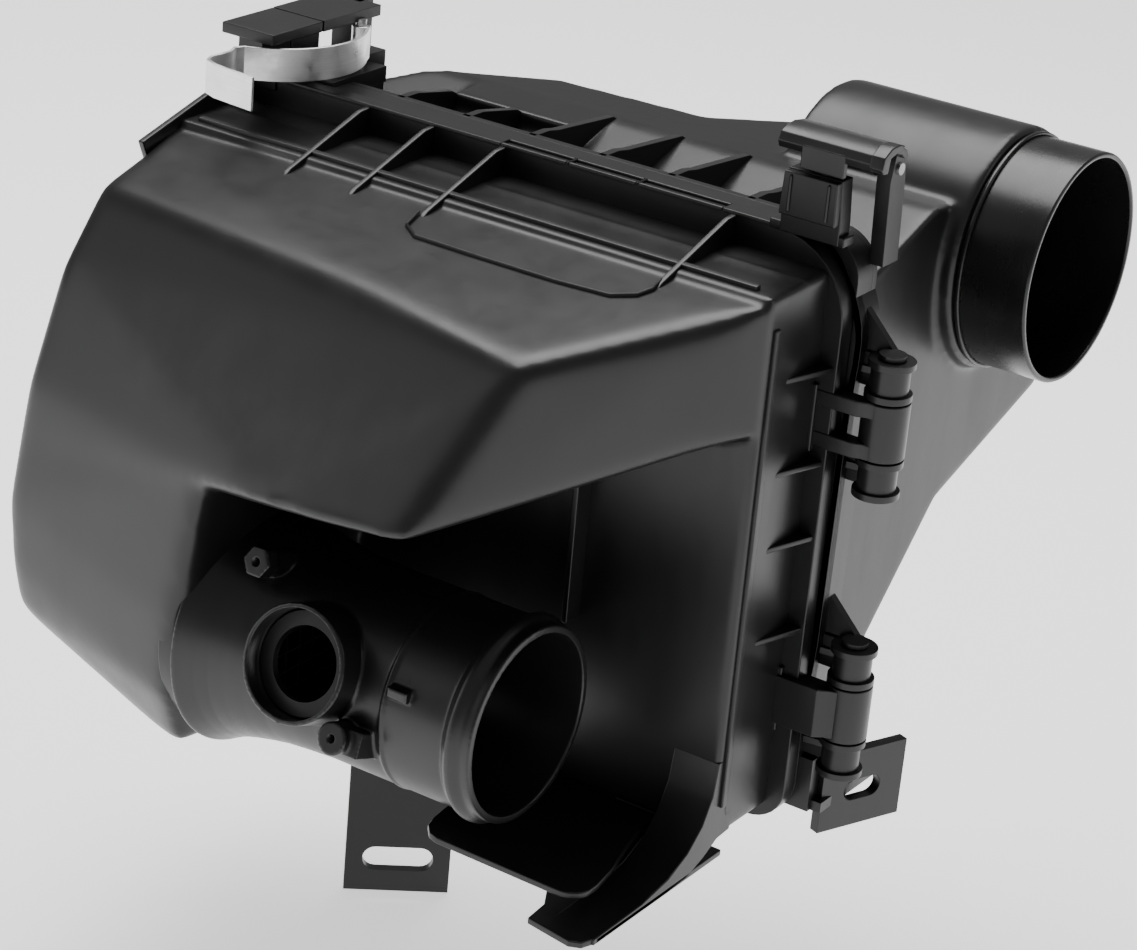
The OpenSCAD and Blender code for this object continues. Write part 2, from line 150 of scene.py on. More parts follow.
def plastic(name, dark, light, rough_low, rough_high, grain=1.0, specular=0.5):
    """Moulded black plastic: flow clouding, patchy gloss, fine grain and dust."""
    mat, tree, bsdf = node_tree(name)
    clouds = noise(tree, 14, 6, 0.6)
    specks = noise(tree, 900, 2, 0.7)
    scuffs = noise(tree, 55, 8, 0.75, stretch=(1, 1, 0.25))
    base = ramp(tree, clouds, ((0.3, (dark,)), (0.7, (light,))))
    dust = ramp(tree, specks, ((0.70, (0.0,)), (0.78, (0.35,))))
    mix = tree.nodes.new("ShaderNodeMix")
    mix.data_type = "RGBA"
    link(tree, dust, mix.inputs["Factor"])
    link(tree, base, mix.inputs["A"])
    mix.inputs["B"].default_value = (light * 1.7, light * 1.65, light * 1.6, 1)
    link(tree, mix.outputs["Result"], bsdf.inputs["Base Color"])
    gloss = ramp(tree, scuffs, ((0.35, (rough_low,)), (0.65, (rough_high,))))
    link(tree, gloss, bsdf.inputs["Roughness"])
    bsdf.inputs["Specular IOR Level"].default_value = specular
    bump(tree, bsdf, (
        (noise(tree, 2600, 2, 0.5), 0.16 * grain, 0.00012),
        (noise(tree, 30, 3, 0.5), 0.10 * grain, 0.0006)))
    return mat


def steel(name, colour, rough, scale=(1, 1, 60)):
    mat, tree, bsdf = node_tree(name)
    bsdf.inputs["Metallic"].default_value = 1.0
    streaks = noise(tree, 40, 6, 0.6, stretch=scale)
    tint = ramp(tree, streaks, ((0.3, (colour * 0.86,)), (0.7, (colour,))))
    link(tree, tint, bsdf.inputs["Base Color"])
    link(tree, ramp(tree, noise(tree, 160, 5), ((0.3, (rough * 0.75,)), (0.7, (rough * 1.35,)))),
         bsdf.inputs["Roughness"])
    bump(tree, bsdf, ((streaks, 0.12, 0.0002),))
    return mat


def plain(name, colour, rough, bump_scale, bump_depth):
    mat, tree, bsdf = node_tree(name)
    fac = noise(tree, bump_scale, 6, 0.65)
    low = tuple(c * 0.86 for c in colour)
    link(tree, ramp(tree, fac, ((0.3, low), (0.7, colour))), bsdf.inputs["Base Color"])
    bsdf.inputs["Roughness"].default_value = rough
    bump(tree, bsdf, ((fac, 0.3, bump_depth),))
    return mat


HOUSING = plastic("housing_plastic", 0.0065, 0.0085, 0.29, 0.37, specular=0.44)
TUBE = plastic("tube_plastic", 0.0065, 0.0085, 0.27, 0.35, specular=0.5)
DUCT = plastic("duct_plastic", 0.005, 0.0065, 0.24, 0.31, grain=0.6)
LATCH = plastic("latch_plastic", 0.0075, 0.010, 0.28, 0.38)
CLIP = steel("clip_steel", 0.97, 0.36)
PIN = steel("pin_steel", 0.45, 0.32)
RUBBER = plain("seal_rubber", (0.022, 0.022, 0.024), 0.62, 700, 0.00015)
PAPER = plain("filter_paper", (0.72, 0.62, 0.42), 0.9, 1500, 0.0002)


# ---------------------------------------------------------------- mesh helpers
def add_faces(bm, loops, closed=True):
    """Bridges a list of equal vertex loops into walls."""
    for a, b in zip(loops, loops[1:]):
        n = len(a)
        for i in range(n if closed else n - 1):
            bm.faces.new((a[i], a[(i + 1) % n], b[(i + 1) % n], b[i]))


def closed_between(bm, low, high):
    """A solid between two equal vertex loops."""
    add_faces(bm, [low, high])
    bm.faces.new(low[::-1])
    bm.faces.new(high)


def on_axis(p, d, axis):
    """A 2D point at a distance along an axis: (y, z) on x, (x, z) on y, (x, y) on z."""
    return {"x": P(d, *p), "y": P(p[0], d, p[1]), "z": P(*p, d)}[axis]


def prism(bm, points, axis, start, end):
    low = [bm.verts.new(on_axis(p, start, axis)) for p in points]
    high = [bm.verts.new(on_axis(p, end, axis)) for p in points]
    closed_between(bm, low, high)


def box(bm, x0, x1, y0, y1, z0, z1):
    prism(bm, ((x0, z0), (x1, z0), (x1, z1), (x0, z1)), "y", y0, y1)


def ring(bm, outer, inner, axis, start, end):
    """A frame between two outlines of the same number of points."""
    loops = [[bm.verts.new(on_axis(p, d, axis)) for p in line]
             for line, d in ((outer, start), (outer, end), (inner, end), (inner, start))]
    add_faces(bm, loops + [loops[0]])


def hull(bm, points):
    verts = [bm.verts.new(P(*p)) for p in points]
    made = bmesh.ops.convex_hull(bm, input=verts)
    bmesh.ops.delete(bm, geom=[v for v in made["geom_interior"] if isinstance(v, bmesh.types.BMVert)],
                     context="VERTS")


def lathe(bm, profile, origin, axis, segments=96, closed=False):
    """Turns (radius, height) points round an axis that starts at origin."""
    turn = axis.normalized().to_track_quat("Z", "Y").to_matrix()
    loops = []
    for radius, height in profile:
        loops.append([bm.verts.new(origin + turn @ (Vector((
            radius * math.cos(2 * math.pi * i / segments),
            radius * math.sin(2 * math.pi * i / segments), height)) * MM)) for i in range(segments)])
    add_faces(bm, loops + [loops[0]] if closed else loops)
    if not closed:
        bm.faces.new(loops[0][::-1])
        bm.faces.new(loops[-1])


def cylinder(bm, origin, axis, radius, length, segments=48):
    lathe(bm, ((radius, 0), (radius, length)), origin, axis, segments)


def circle(cu, cv, r, n):
    angles = [2 * math.pi * i / n for i in range(n)]
    return [(cu + r * math.cos(a), cv + r * math.sin(a)) for a in angles]


def corner_arc(cx, cy, r, start, n=8):
    return [(cx + r * math.cos(math.radians(start + 90 * i / n)),
             cy + r * math.sin(math.radians(start + 90 * i / n))) for i in range(n + 1)]


def rounded(x0, x1, z0, z1, radii, n=8):
    """A rounded rectangle; radii run from the lower left corner anticlockwise."""
    a, b, c, d = radii
    return (corner_arc(x0 + a, z0 + a, a, 180, n) + corner_arc(x1 - b, z0 + b, b, 270, n)
            + corner_arc(x1 - c, z1 - c, c, 0, n) + corner_arc(x0 + d, z1 - d, d, 90, n))


def to_object(name, bm, material, bevel=0.5, segments=2, angle=30):
    bmesh.ops.recalc_face_normals(bm, faces=bm.faces)
    mesh = bpy.data.meshes.new(name)
    bm.to_mesh(mesh)
    bm.free()
    obj = bpy.data.objects.new(name, mesh)
    bpy.context.scene.collection.objects.link(obj)
    mesh.materials.append(material)
    mesh.shade_smooth()
    if bevel:
        mod = obj.modifiers.new("rounding", "BEVEL")
        mod.width = bevel * MM
        mod.segments = segments
        mod.limit_method = "ANGLE"
        mod.angle_limit = math.radians(angle)
        mod.use_clamp_overlap = True
        mod.harden_normals = False
    norm = obj.modifiers.new("normals", "WEIGHTED_NORMAL")
    norm.keep_sharp = True
    return obj


def raw_object(name, bm, material):
    """An object with no modifiers, to be fused, cut or used as a cutter."""
    obj = to_object(name, bm, material, bevel=0)
    obj.modifiers.clear()
    return obj


def baked(obj):
    """The object's mesh with its modifiers applied."""
    depsgraph = bpy.context.evaluated_depsgraph_get()
    mesh = bpy.data.meshes.new_from_object(obj.evaluated_get(depsgraph))
    old = obj.data
    obj.modifiers.clear()
    obj.data = mesh
    bpy.data.meshes.remove(old)
    return obj


def cut(obj, tool, operation="DIFFERENCE"):
    mod = obj.modifiers.new("cut", "BOOLEAN")
    mod.operation = operation
    mod.solver = "EXACT"
    mod.object = tool
    baked(obj)
    bpy.data.objects.remove(tool)


def soften(obj, voxel, passes):
    """Fuses the solids of a mesh into one skin with rounded edges and fillets."""
    mod = obj.modifiers.new("fuse", "REMESH")
    mod.mode = "VOXEL"
    mod.voxel_size = voxel * MM
    mod.use_smooth_shade = True
    if passes:
        mod = obj.modifiers.new("soften", "SMOOTH")
        mod.factor = 0.5
        mod.iterations = passes
    return baked(obj)


def open_at(obj, point, normal):
    """Takes away what lies on the normal's side of a plane."""
    bm = bmesh.new()
    bm.from_mesh(obj.data)
    bmesh.ops.bisect_plane(bm, geom=bm.verts[:] + bm.edges[:] + bm.faces[:], plane_co=point,
                           plane_no=normal, clear_outer=True)
    bm.to_mesh(obj.data)
    bm.free()


def shell(obj, thickness):
    mod = obj.modifiers.new("wall", "SOLIDIFY")
    mod.thickness = thickness * MM
    mod.offset = -1
    return baked(obj)


def finish_piece(obj, body, nodes=()):
    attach(obj, body)
    if nodes:
        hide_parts(*nodes)
    return obj


# ---------------------------------------------------------------- cap bulge
def make_cap_bulge():
    bm = bmesh.new()
    hull(bm, ((CAP_L, -2, CAP_T), (CAP_R, -2, CAP_T), (CAP_L, -2, CAP_B), (CAP_R, -2, CAP_B),
              (CAP_L, -42, CAP_T - 1), (CAP_R, -42, CAP_T - 1), (CAP_L, -42, CAP_B), (CAP_R, -42, CAP_B)))
    hull(bm, ((CAP_L, -20, CAP_T), (CAP_R, -20, CAP_T), (CAP_R, -42, CAP_T - 3), (CAP_L, -54, 98),
              (-15, -100, 92), (54, -116, 89), (90, -56, 97), (35.5, -149, 33), (90, -53, 57),
              (CAP_R, -42, 57), (CAP_R, -20, 57), (-50, -140, 27), (CAP_L, -111, 8),
              (CAP_L, -20, 8), (-50, -20, 27), (-24, -147.6, 30), (CAP_L, -83, 89), (CAP_L, -102, 65),
              (CAP_L, -118, 26), (CAP_L, -122, 8)))
    hull(bm, ((CAP_L, -20, 10), (CAP_L, -122, 8), (-50, -140, 27), (-50, -20, 27), (CAP_L, -127, -16),
              (CAP_L, -125, -39), (-64, -137, -30), (-62, -20, -30), (CAP_L, -121, -56), (-67, -133, -62),
              (CAP_L + 6, -89, -90), (-72, -118, -88), (-66, -20, -88), (CAP_L, -20, -90)))
    obj = raw_object("cap_bulge", bm, HOUSING)
    soften(obj, 1.1, 18)
    # The deep bulge has large soft edges; the tray behind it stays crisp
    group = obj.vertex_groups.new(name="bulge")
    start, full = P(0, -46, 0).y, P(0, -62, 0).y
    for v in obj.data.vertices:
        group.add([v.index], min(1.0, max(0.0, (start - v.co.y) / (start - full))), "REPLACE")
    mod = obj.modifiers.new("large_edges", "SMOOTH")
    mod.factor = 0.5
    mod.iterations = 130
    mod.vertex_group = "bulge"
    baked(obj)
    obj.vertex_groups.clear()
    open_at(obj, P(0, -6.5, 0), Vector((0, 1, 0)))
    shell(obj, WALL)
    tool = bmesh.new()
    cylinder(tool, P(-90, TUBE_Y, TUBE_Z), ALONG_X, 33.6, 70, 96)
    cut(obj, raw_object("tube_way", tool, HOUSING))
    obj.data.shade_smooth()
    return obj


def make_cap_details():
    bm = bmesh.new()
    outer = rounded(X_L, X_R, Z_B, Z_T, (14, 14, 28, 6))
    inner = rounded(*OPEN_X, *OPEN_Z, (8, 8, 8, 8))
    ring(bm, outer, inner, "y", -CAP_FLANGE, 0)
    # Raised lip along the flange's top with its three long slots
    top = ((X_L + 22, -35), (-35, -8), (-8, -7), (-7, 20), (20, 21), (21, 54), (54, X_R - 27))
    for n, (x0, x1) in enumerate(top):
        if n % 2 == 0:
            box(bm, x0, x1, -CAP_FLANGE, -0.2, Z_T - 1, Z_T + 1)
        else:
            box(bm, x0, x1, -CAP_FLANGE, -CAP_FLANGE + 1.6, Z_T - 1, Z_T + 1)
            box(bm, x0, x1, -1.8, -0.2, Z_T - 1, Z_T + 1)
    for x in (-91.5, -63.5, -33.5, 58.7):
        prism(bm, ((-6, Z_T), (-12, Z_T - 0.4), (-50, 100.8), (-53, 98.8), (-50, 95), (-6, 95)), "x",
              x - 1.1, x + 1.1)
    # Web at the flange's left corner
    prism(bm, ((-6, Z_T), (-14, Z_T - 0.6), (-62, 99), (-58, 90), (-6, 90)), "x", CAP_L - 1.5, CAP_L + 1)
    for z in (70, 37, 10, -24):
        prism(bm, ((CAP_R - 2, -34), (CAP_R + 6.5, -5), (CAP_R - 2, -5)), "z", z, z + 2)
    # Bead round the top and the right side
    prism(bm, ((-39, CAP_T - 4), (-39, CAP_T + 0.4), (-36.4, CAP_T + 0.8), (-36.4, CAP_T - 4)), "x",
          CAP_L + 6, CAP_R - 8)
    box(bm, CAP_R - 1, CAP_R + 1.2, -39, -36, CAP_B + 12, CAP_T - 12)
    # Shelf and lip below the tube
    prism(bm, [(12, -36), (20, -97), (21.5, -102), (25, -106), (29, -107.3), (76, -107.8)]
          + [(78 + 8 * math.sin(math.radians(a)), -99.8 - 8 * math.cos(math.radians(a)))
             for a in range(10, 81, 14)]
          + [(85.8, -96), (83.7, -84), (79, -68), (75.5, -53), (76.5, -44), (80, -36)], "z", -91, -88.6)
    prism(bm, ((58, -34), (58, -78), (66, -95), (71, -104), (72, -115), (90, -118), (94, -116), (96, -110),
               (96, -34)), "z", -100.5, -98.1)
    prism(bm, ((-112, -100.5), (-112, -98.1), (-84, -97.6), (-68, -95), (-57, -90), (-49, -83), (-44, -74),
               (-42, -62), (-30, -62), (-30, -91.8), (-38, -92.4), (-46, -96.4), (-56, -99.8),
               (-70, -100.5)), "x", 78, 96)
    box(bm, 58, 79, -44, -40, -100, -88)
    ring(bm, circle(TUBE_Y, TUBE_Z, 40, 96),
         circle(TUBE_Y, TUBE_Z, 37.2, 96), "x", -70, -62)
    # Upright rib on the panel
    box(bm, 33.5, 35.7, -50, -40, -28, 32)
    # Moulded outline on the top face
    deck = [(-26, -34), (-33, -40), (-35, -52), (-33, -61), (-26, -66), (0, -66.5), (30, -66.5), (50, -65),
            (57, -60), (59, -54), (58, -46)]
    for (xa, ya), (xb, yb) in zip(deck[2:], deck[3:]):
        d = Vector((xb - xa, yb - ya)).normalized() * 0.5
        n = Vector((-d.y, d.x))
        corners = [(xa + n.x - d.x, ya + n.y - d.y), (xb + n.x + d.x, yb + n.y + d.y),
                   (xb - n.x + d.x, yb - n.y + d.y), (xa - n.x - d.x, ya - n.y - d.y)]
        low = [bm.verts.new(P(x, y, 98.5 + 0.176 * (y + 51))) for x, y in corners]
        high = [bm.verts.new(P(x, y, 101.0 + 0.176 * (y + 51))) for x, y in corners]
        closed_between(bm, low, high)
    # Block under the latch, the ears and the roof
    prism(bm, ((76, Z_T - 1), (98, Z_T - 1), (98, 120), (97, 134.6), (77, 134.6), (76, 120)), "y", -7.4, -0.4)
    prism(bm, ((76.6, 119.4), (97.4, 119.4), (97.4, 121), (97, 134.2), (77.2, 134.2), (76.6, 121)), "y",
          -10.4, -7)
    for x in (79.5, 93.6):
        prism(bm, ((-10.2, 120.4), (-10.2, 133.6), (-11.2, 133.2), (-11.2, 121)), "x", x, x + 1)
    box(bm, 72, 100, -7.2, -0.4, Z_T - 1, Z_T + 2.4)
    box(bm, -143, -132, -16, -0.3, CLIP_Z[0] - 2, CLIP_Z[0] + CLIP_W + 2)
    box(bm, -141, -118, -28, -0.3, 133, 137)
    box(bm, -158.5, -142.5, -14, -0.3, CLIP_Z[1] - 2, CLIP_Z[1] + CLIP_W + 2)
    box(bm, -143, -132, -8, -0.3, Z_T - 4, 123)
    for z in HINGE_Z:
        upper = z == HINGE_Z[0]
        for low, high in ((z - 10, z - 4.5), (z + 4.5, z + 10)) if upper else ((z - 9, z + 9),):
            prism(bm, [(CAP_R - 2, -7.4 if upper else -9.4), (112, -7.4 if upper else -9.4),
                       (115, -6 if upper else -7), (HINGE[0], -6), (HINGE[0], -1), (CAP_R - 2, -1)], "z",
                  low, high)
        box(bm, CAP_R - 1, CAP_R + 1.4, -8.6, -1, z - 12, z + 12)
        ring(bm, circle(HINGE[0], HINGE[1], 8, 40),
             circle(HINGE[0], HINGE[1], HINGE_BORE, 40),
             "z", z - 10, z + 10)
    return to_object("cap_flange", bm, HOUSING)


# ---------------------------------------------------------------- outlet tube
def port_frame():
    out = Vector((0, -math.cos(PORT_TILT), math.sin(PORT_TILT)))
    up = Vector((0, math.sin(PORT_TILT), math.cos(PORT_TILT)))
    return out, up


def on_port(u, v, reach):
    out, up = port_frame()
    return P(PORT_X, TUBE_Y, TUBE_Z) + (Vector((u, 0, 0)) + up * v + out * reach) * MM


def make_outlet_tube():
    out = port_frame()[0]
    length = TUBE_MOUTH - TUBE_FOOT
    bm = bmesh.new()
    lathe(bm, ((37, 0), (37, 6.4), (44.2, 6.6), (44, 8), (42.6, 10.6), (40.9, 14), (39.2, 18.5), (37.8, 24),
               (36.4, 31), (35.3, 38), (34.6, 47), (TUBE_R, 58), (TUBE_R, 85.6), (TUBE_R + 0.5, 86),
               (TUBE_R + 0.5, 86.8), (TUBE_R, 87.2), (TUBE_R, 110.6), (TUBE_R + 1.2, 112),
               (TUBE_R + 2.1, 113.4), (TUBE_R + 2.1, 115), (TUBE_R + 1.2, 116.4), (TUBE_R, 117.6),
               (TUBE_R, length)),
          P(TUBE_FOOT, TUBE_Y, TUBE_Z), ALONG_X, 160)
    cylinder(bm, on_port(0, 0, 0), out, PORT_R, PORT_REACH, 96)
    for n, (u, v) in enumerate(PORT_SCREWS):
        cylinder(bm, on_port(u, v, 34 if n == 0 else 10), out, 5.6, 6 if n == 0 else 30, 6 if n == 0 else 32)
        if n == 0:
            cylinder(bm, on_port(u, v, 4), out, 4.6, 31, 24)
    block = [(u, v) for u, v in ((15, -23.5), (28, -23.5), (28, -14.5), (15, -14.5))]
    near = [bm.verts.new(on_port(u, v, 14)) for u, v in block]
    far = [bm.verts.new(on_port(u, v, 36.5)) for u, v in block]
    closed_between(bm, near, far)
    box(bm, 20, 28, TUBE_Y - TUBE_R - 0.4, TUBE_Y - TUBE_R + 6, TUBE_Z + 11, TUBE_Z + 15)
    obj = raw_object("outlet_tube_body", bm, TUBE)
    soften(obj, 0.5, 4)
    tool = bmesh.new()
    lathe(tool, ((35.5, -2), (35.5, 0), (33, 14), (TUBE_R - 2.6, 30), (TUBE_R - 2.6, length - 0.8),
                 (TUBE_R - 2.2, length + 2)), P(TUBE_FOOT, TUBE_Y, TUBE_Z), ALONG_X, 160)
    cut(obj, raw_object("tube_bore", tool, TUBE))
    tool = bmesh.new()
    lathe(tool, ((16.5, 10), (16.5, 34), (18.3, 34), (18.3, 43.2), (18.9, 46)), on_port(0, 0, 0), out, 96)
    for u, v in PORT_SCREWS:
        cylinder(tool, on_port(u, v, 28), out, 1.6, 20, 20)
    cut(obj, raw_object("port_bore", tool, TUBE))
    obj.data.shade_smooth()
    return obj


# ---------------------------------------------------------------- case
def make_case_body():
    side = ((2, Z_B + 6), (30, Z_B + 6), (50, -48), (91, -7), (163, 17), (163, 98), (150, 106), (64, 109),
            (60, 108.6), (22, 95.5), (2, 95.5))
    plan = ((CASE_L, 2), (CASE_L, 34), (CASE_L + 28, 60), (-76, 90), (-16, 94), (10, 118), (36, 156),
            (50, 163), (CASE_R, 163), (CASE_R, 2))
    bm = bmesh.new()
    prism(bm, side, "x", CASE_L - 1, CASE_R + 1)
    obj = raw_object("case_body", bm, HOUSING)
    bm = bmesh.new()
    prism(bm, plan, "z", Z_B - 1, Z_T + 1)
    tool = raw_object("case_plan", bm, HOUSING)
    cut(obj, tool, "INTERSECT")
    bm = bmesh.new()
    bm.from_mesh(obj.data)
    cylinder(bm, P(30, DUCT_Y, DUCT_Z), ALONG_X, DUCT_R + 2.6, CASE_R - 30, 96)
    cylinder(bm, P(60, DUCT_Y, DUCT_Z), ALONG_X, DUCT_R + 2.6, CASE_R + 6.8 - 60, 96)
    prism(bm, ((43, 97), (43, 109), (66, 109), (66, 97)), "x", -91, -35)
    bm.to_mesh(obj.data)
    bm.free()
    soften(obj, 1.0, 30)
    tool = bmesh.new()
    cylinder(tool, P(80, DUCT_Y, DUCT_Z), ALONG_X, DUCT_R - 2, 60, 96)
    cut(obj, raw_object("case_duct_bore", tool, HOUSING))
    open_at(obj, P(0, CASE_FLANGE - 1, 0), Vector((0, -1, 0)))
    shell(obj, WALL)
    obj.data.shade_smooth()
    return obj


def bracket(bm, corner, turn, slot_l, slot_h, w, h, t, drop, n=10):
    """A plate with a long slot; its front face stands on the corner point."""
    foot = 14  # half the height of the part that holds the slot
    r = slot_h / 2
    half = (slot_l - slot_h) / 2
    turns = [math.radians(-90 + 180 * i / n) for i in range(n + 1)]
    slot = [(half + r * math.cos(a), r * math.sin(a)) for a in turns]
    slot += [(-x, -z) for x, z in slot]
    edge = []
    for u, v in slot:
        k = max(abs(u) / (w / 2), abs(v) / foot)
        edge.append((u / k, v / k))
    for cu, cv in ((w / 2, foot), (-w / 2, foot), (-w / 2, -foot), (w / 2, -foot)):
        near = min(range(len(edge)), key=lambda i: (edge[i][0] - cu) ** 2 + (edge[i][1] - cv) ** 2)
        edge[near] = (cu, cv)
    rot = Matrix.Rotation(turn, 3, "Z")
    centre = foot - drop

    def at(p, d):
        return P(*corner) + rot @ (Vector((p[0], d, p[1] + centre)) * MM)
    loops = [[bm.verts.new(at(p, d)) for p in line]
             for line, d in ((edge, 0), (edge, t), (slot, t), (slot, 0))]
    add_faces(bm, loops + [loops[0]])
    top = h - foot
    low = [bm.verts.new(at((x, 13.8), d)) for x, d in ((-w / 2, 0), (w / 2, 0), (w / 2, t), (-w / 2, t))]
    high = [bm.verts.new(at((x, top), d)) for x, d in ((-w / 2, 0), (w / 2, 0), (w / 2, t), (-w / 2, t))]
    closed_between(bm, low, high)


def make_case_details():
    bm = bmesh.new()
    outer = rounded(X_L, X_R, Z_B, Z_T, (14, 14, 14, 6))
    inner = rounded(*OPEN_X, *OPEN_Z, (6, 6, 6, 6))
    ring(bm, outer, inner, "y", 10, CASE_FLANGE)
    seat_w = 9.3
    seat = rounded(OPEN_X[0] - seat_w, OPEN_X[1] + seat_w, OPEN_Z[0] - seat_w, OPEN_Z[1] + seat_w, (8, 8,
                                                                                                    8, 8))
    ring(bm, outer, seat, "y", 0.25, 10)
    # The swell of the flange at the right, as a web and a raised rim
    swell = [(89.6, 112.2), (94, 108.4), (98, 103.4), (101.8, 97.6), (104.7, 91), (106.4, 85.6), (107, 80),
             (106.9, 72), (106.3, 64), (105.8, 50), (105.5, 32), (105.2, 0), (105, -30), (104, -44),
             (102, -56)]
    prism(bm, swell + [(96, -56), (96, 106)], "y", 0.25, 4)
    ring(bm, swell, [(x - 2.4, z - (1.6 if z > 80 else 0)) for x, z in swell], "y", 0.25, CASE_FLANGE)
    for x in (-91, -62.5, -34.5, -5.5, 22.5, 54):
        back = 65 if x > -40 else 45
        prism(bm, ((11, 96), (11, Z_T), (20, Z_T), (26, Z_T - 1), (back - 4, 110), (back, 108), (back, 96)),
              "x", x - 1.5, x + 1.5)
    for z in HINGE_Z:
        for low in (z - 24, z + 10.5):
            box(bm, X_R - 6, HINGE[0], 4, HINGE[1] + 8, low + 1, low + 12.5)
            for size, start, end in ((8, low, low + 2.4), (6.6, low + 2.2, low + 11.3),
                                     (8, low + 11.1, low + 13.5)):
                ring(bm, circle(HINGE[0], HINGE[1], size, 40),
                     circle(HINGE[0], HINGE[1], HINGE_BORE, 40),
                     "z", start, end)
            # Buttress behind each knuckle
            prism(bm, ((X_R - 2, 12.6), (HINGE[0] + 4, 9), (HINGE[0] + 4, 5), (X_R - 2, 2)), "z",
                  low + 5.5, low + 8)
        prism(bm, ((X_R - 4, z + 40), (X_R + 1, z + 38), (HINGE[0] - 1, z + 25), (HINGE[0] + 3, z + 23.4),
                   (X_R - 4, z + 23.4)), "y", 5, 8)
    box(bm, -143, -113, 0.3, 32.3, Z_T - 4, Z_T + 2)
    box(bm, -141, -118, 0.3, 33.3, 133, 137)
    box(bm, -143, -132, 0.3, 16.3, Z_T - 1, 133.5)
    box(bm, -137, -121, 30, 42, 88, 118)
    box(bm, -137, -125, 30, 38, 110, 137)
    for z in (CLIP_Z[1] - 4, CLIP_Z[1] + CLIP_W + 0.5):
        box(bm, LOW_PIVOT_X - 5, LOW_PIVOT_X + 21, 0.3, 28.3, z, z + 3.5)
    # The two ears that hold the latch's pin
    for x in (74, 101):
        prism(bm, ((7, LATCH_Z - 4), (9, LATCH_Z + 5), (15, LATCH_Z + 5), (17, LATCH_Z - 4), (19, 104),
                   (9, 104)), "x", x + 0.4, x + 5.6)
    bracket(bm, (-62, 2, -160), math.radians(38), slot_l=27, slot_h=10, w=40, h=95.4, t=4, drop=34)
    bracket(bm, (HINGE[0] - 1, 24, -84), math.radians(68), slot_l=16, slot_h=8, w=36, h=29.4, t=4,
            drop=20)
    box(bm, -66, -44, 0.4, 12.6, -104, -97)
    box(bm, 92, 108, 2, 14, Z_B + 4, Z_B + 24)
    box(bm, 92, 112, 4, 42, Z_B + 4, Z_B + 8)
    box(bm, 90, 94, 6, 40, Z_B + 4, Z_B + 26)
    return to_object("case_flange", bm, HOUSING)


def make_inlet_duct():
    start = P(DUCT_START, DUCT_Y, DUCT_Z)
    length = DUCT_MOUTH - DUCT_START
    wall = 2.2
    bm = bmesh.new()
    lathe(bm, ((DUCT_R, 0), (DUCT_R, length - 0.8), (DUCT_R - 0.5, length), (DUCT_R - wall + 0.5, length),
               (DUCT_R - wall, length - 0.8), (DUCT_R - wall, 0)), start, ALONG_X, 160, closed=True)
    # Bead where the duct leaves the case
    bead = CASE_R + 7.3 - DUCT_START
    lathe(bm, ((DUCT_R - 0.3, bead), (DUCT_R + 1.0, bead), (DUCT_R + 1.3, bead + 0.4),
               (DUCT_R + 1.3, bead + 1.2), (DUCT_R + 0.9, bead + 1.6), (DUCT_R - 0.3, bead + 1.6)),
          start, ALONG_X, 160, closed=True)
    return to_object("inlet_duct_body", bm, DUCT, bevel=0)


# ---------------------------------------------------------------- clips and latch
def clip_path():
    bow = [(-24.5 + 34.5 * math.cos(math.radians(a)), -21 + 34.5 * math.sin(math.radians(a)))
           for a in range(34, -67, -5)]
    return [(-1.2, 3.1), (2.2, 2.1)] + bow + [(-11.8, -56), (-9.8, -61), (-9.8, -66), (-10.2, -70.5),
                                             (-8.5, -74.5), (-3, -77), (15, -79)]


def make_clip(name, pivot, z, side):
    pts = [Vector((pivot[0] + side * x, pivot[1] + y, 0)) for x, y in clip_path()]
    bm = bmesh.new()
    rows = []
    for i, p in enumerate(pts):
        t = (pts[min(i + 1, len(pts) - 1)] - pts[max(i - 1, 0)]).normalized()
        n = Vector((-t.y, t.x, 0)) * CLIP_T / 2
        rows.append([bm.verts.new(P(*(q + Vector((0, 0, h))))) for q, h in
                     ((p + n, z), (p + n, z + CLIP_W), (p - n, z + CLIP_W), (p - n, z))])
    add_faces(bm, rows)
    bm.faces.new(rows[0])
    bm.faces.new(rows[-1][::-1])
    ring(bm, circle(*pivot, 3.3, 32),
         circle(*pivot, SMALL_BORE, 32), "z", z, z + CLIP_W)
    return to_object(name, bm, CLIP, bevel=0.25)


def make_latch():
    x0, x1 = 83, 99
    bm = bmesh.new()
    ring(bm, circle(LATCH_Y, LATCH_Z, 4.4, 36), circle(LATCH_Y, LATCH_Z, SMALL_BORE, 36), "x", x0, x1)
    prism(bm, ((LATCH_Y - 3, LATCH_Z + 3.4), (0, 142), (-9, 142), (-9, 136.5), (-11.4, 136.5), (-11.4, 144.5),
               (2, 145.5), (LATCH_Y + 1, LATCH_Z + 5.6)), "x", x0, x1)
    prism(bm, ((-8, 141), (-10.6, 141.4), (-11.4, 144), (-10, 146.6), (-7, 148), (-2, 148.5), (4, 147.6),
               (9, 145), (11, 142.4), (9.2, 141.6), (6.4, 143.6), (1, 145), (-4, 145.2), (-7.6, 144)), "x",
               74, 110)
    prism(bm, ((-8, 141), (-10.6, 141.4), (-12.4, 143), (-11.4, 147), (-7, 149.4), (-2, 149.6), (2, 148.4),
               (-2, 147), (-7, 146)), "x", 108, 113)
    return to_object("top_latch_shell", bm, LATCH)


